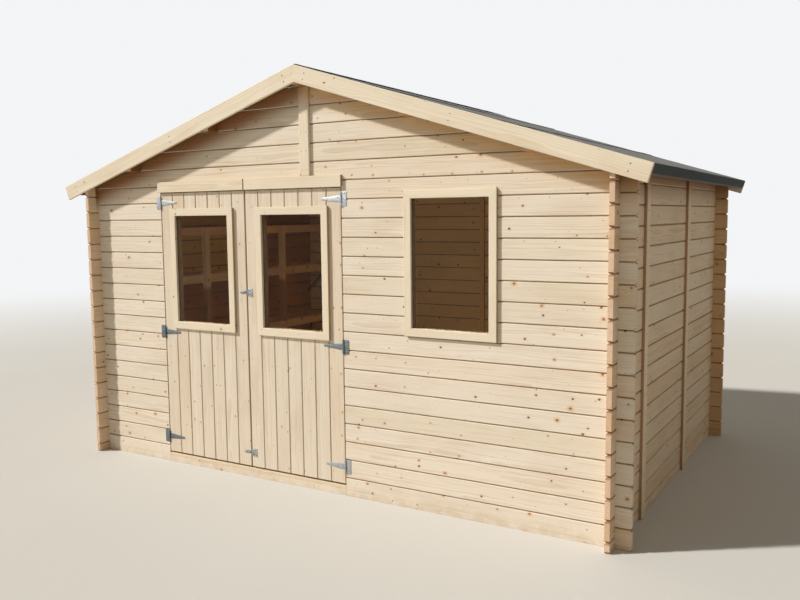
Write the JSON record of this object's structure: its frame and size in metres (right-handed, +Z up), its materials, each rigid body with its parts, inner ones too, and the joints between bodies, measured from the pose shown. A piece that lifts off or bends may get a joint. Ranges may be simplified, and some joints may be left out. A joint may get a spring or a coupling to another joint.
{
  "type": "wooden garden shed",
  "caption": "Gabled garden shed of interlocking horizontal timber boards with glazed double doors, a fixed front window and a felt roof.",
  "frame": {"origin": "on the ground at the middle of the building", "axes": "+X to the right along the front with the doors, +Y towards the rear wall, +Z up"},
  "size_m": [4.2822, 2.8, 2.6487],
  "materials": {
    "wall_boards": "planed softwood, bare",
    "door_boards": "planed softwood, bare",
    "trim_timber": "planed softwood, bare",
    "inside_timber": "planed softwood, bare",
    "roof_timber": "sawn softwood, bare",
    "roof_felt": "mineral roofing felt, matt",
    "fittings": "galvanized",
    "glass": "clear"
  },
  "bodies": {
    "shed": {"front_wall_boards": "wall_boards", "front_wall_at_window": "wall_boards", "front_wall_sill": "wall_boards", "front_gable": "wall_boards", "rear_wall": "wall_boards", "log_ends": "wall_boards", "left_wall": "wall_boards", "right_wall": "wall_boards", "side_battens": "trim_timber", "gable_battens": "trim_timber", "door_threshold": "trim_timber", "door_jambs": "trim_timber", "door_lintel": "trim_timber", "door_head_boards": "trim_timber", "window_frame": "trim_timber", "window_glass": "glass", "window_lining": "trim_timber", "hinge_plates": "fittings", "floor_bearers": "inside_timber", "floor_boards": "inside_timber", "wall_shelves": "inside_timber", "shelf_posts": "inside_timber", "shelf_struts": "inside_timber", "purlins": "roof_timber", "left_roof_deck": "roof_timber", "right_roof_deck": "roof_timber", "left_roof_felt": "roof_felt", "right_roof_felt": "roof_felt", "ridge_felt_strip": "roof_felt", "eave_boards": "trim_timber", "left_barge_boards": "trim_timber", "right_barge_boards": "trim_timber"},
    "left_door": {"left_door_boards": "door_boards", "left_door_ledges": "door_boards", "left_door_window_trim": "trim_timber", "left_door_window_glass": "glass", "left_door_window_lining": "trim_timber", "left_door_hinge_straps": "fittings", "left_door_catches": "fittings"},
    "right_door": {"right_door_boards": "door_boards", "right_door_ledges": "door_boards", "right_door_window_trim": "trim_timber", "right_door_window_glass": "glass", "right_door_window_lining": "trim_timber", "right_door_hinge_straps": "fittings", "right_door_keeps": "fittings"}
  },
  "joints": [
    {"name": "left_door_hinge", "type": "hinge", "parent": "shed", "child": "left_door", "pos_m": [-1.271, -1.296, 0.94], "axis": [0, 0, -1], "range_deg": [0, 165]},
    {"name": "right_door_hinge", "type": "hinge", "parent": "shed", "child": "right_door", "pos_m": [0.259, -1.296, 0.94], "axis": [0, 0, 1], "range_deg": [0, 165]}
  ]
}
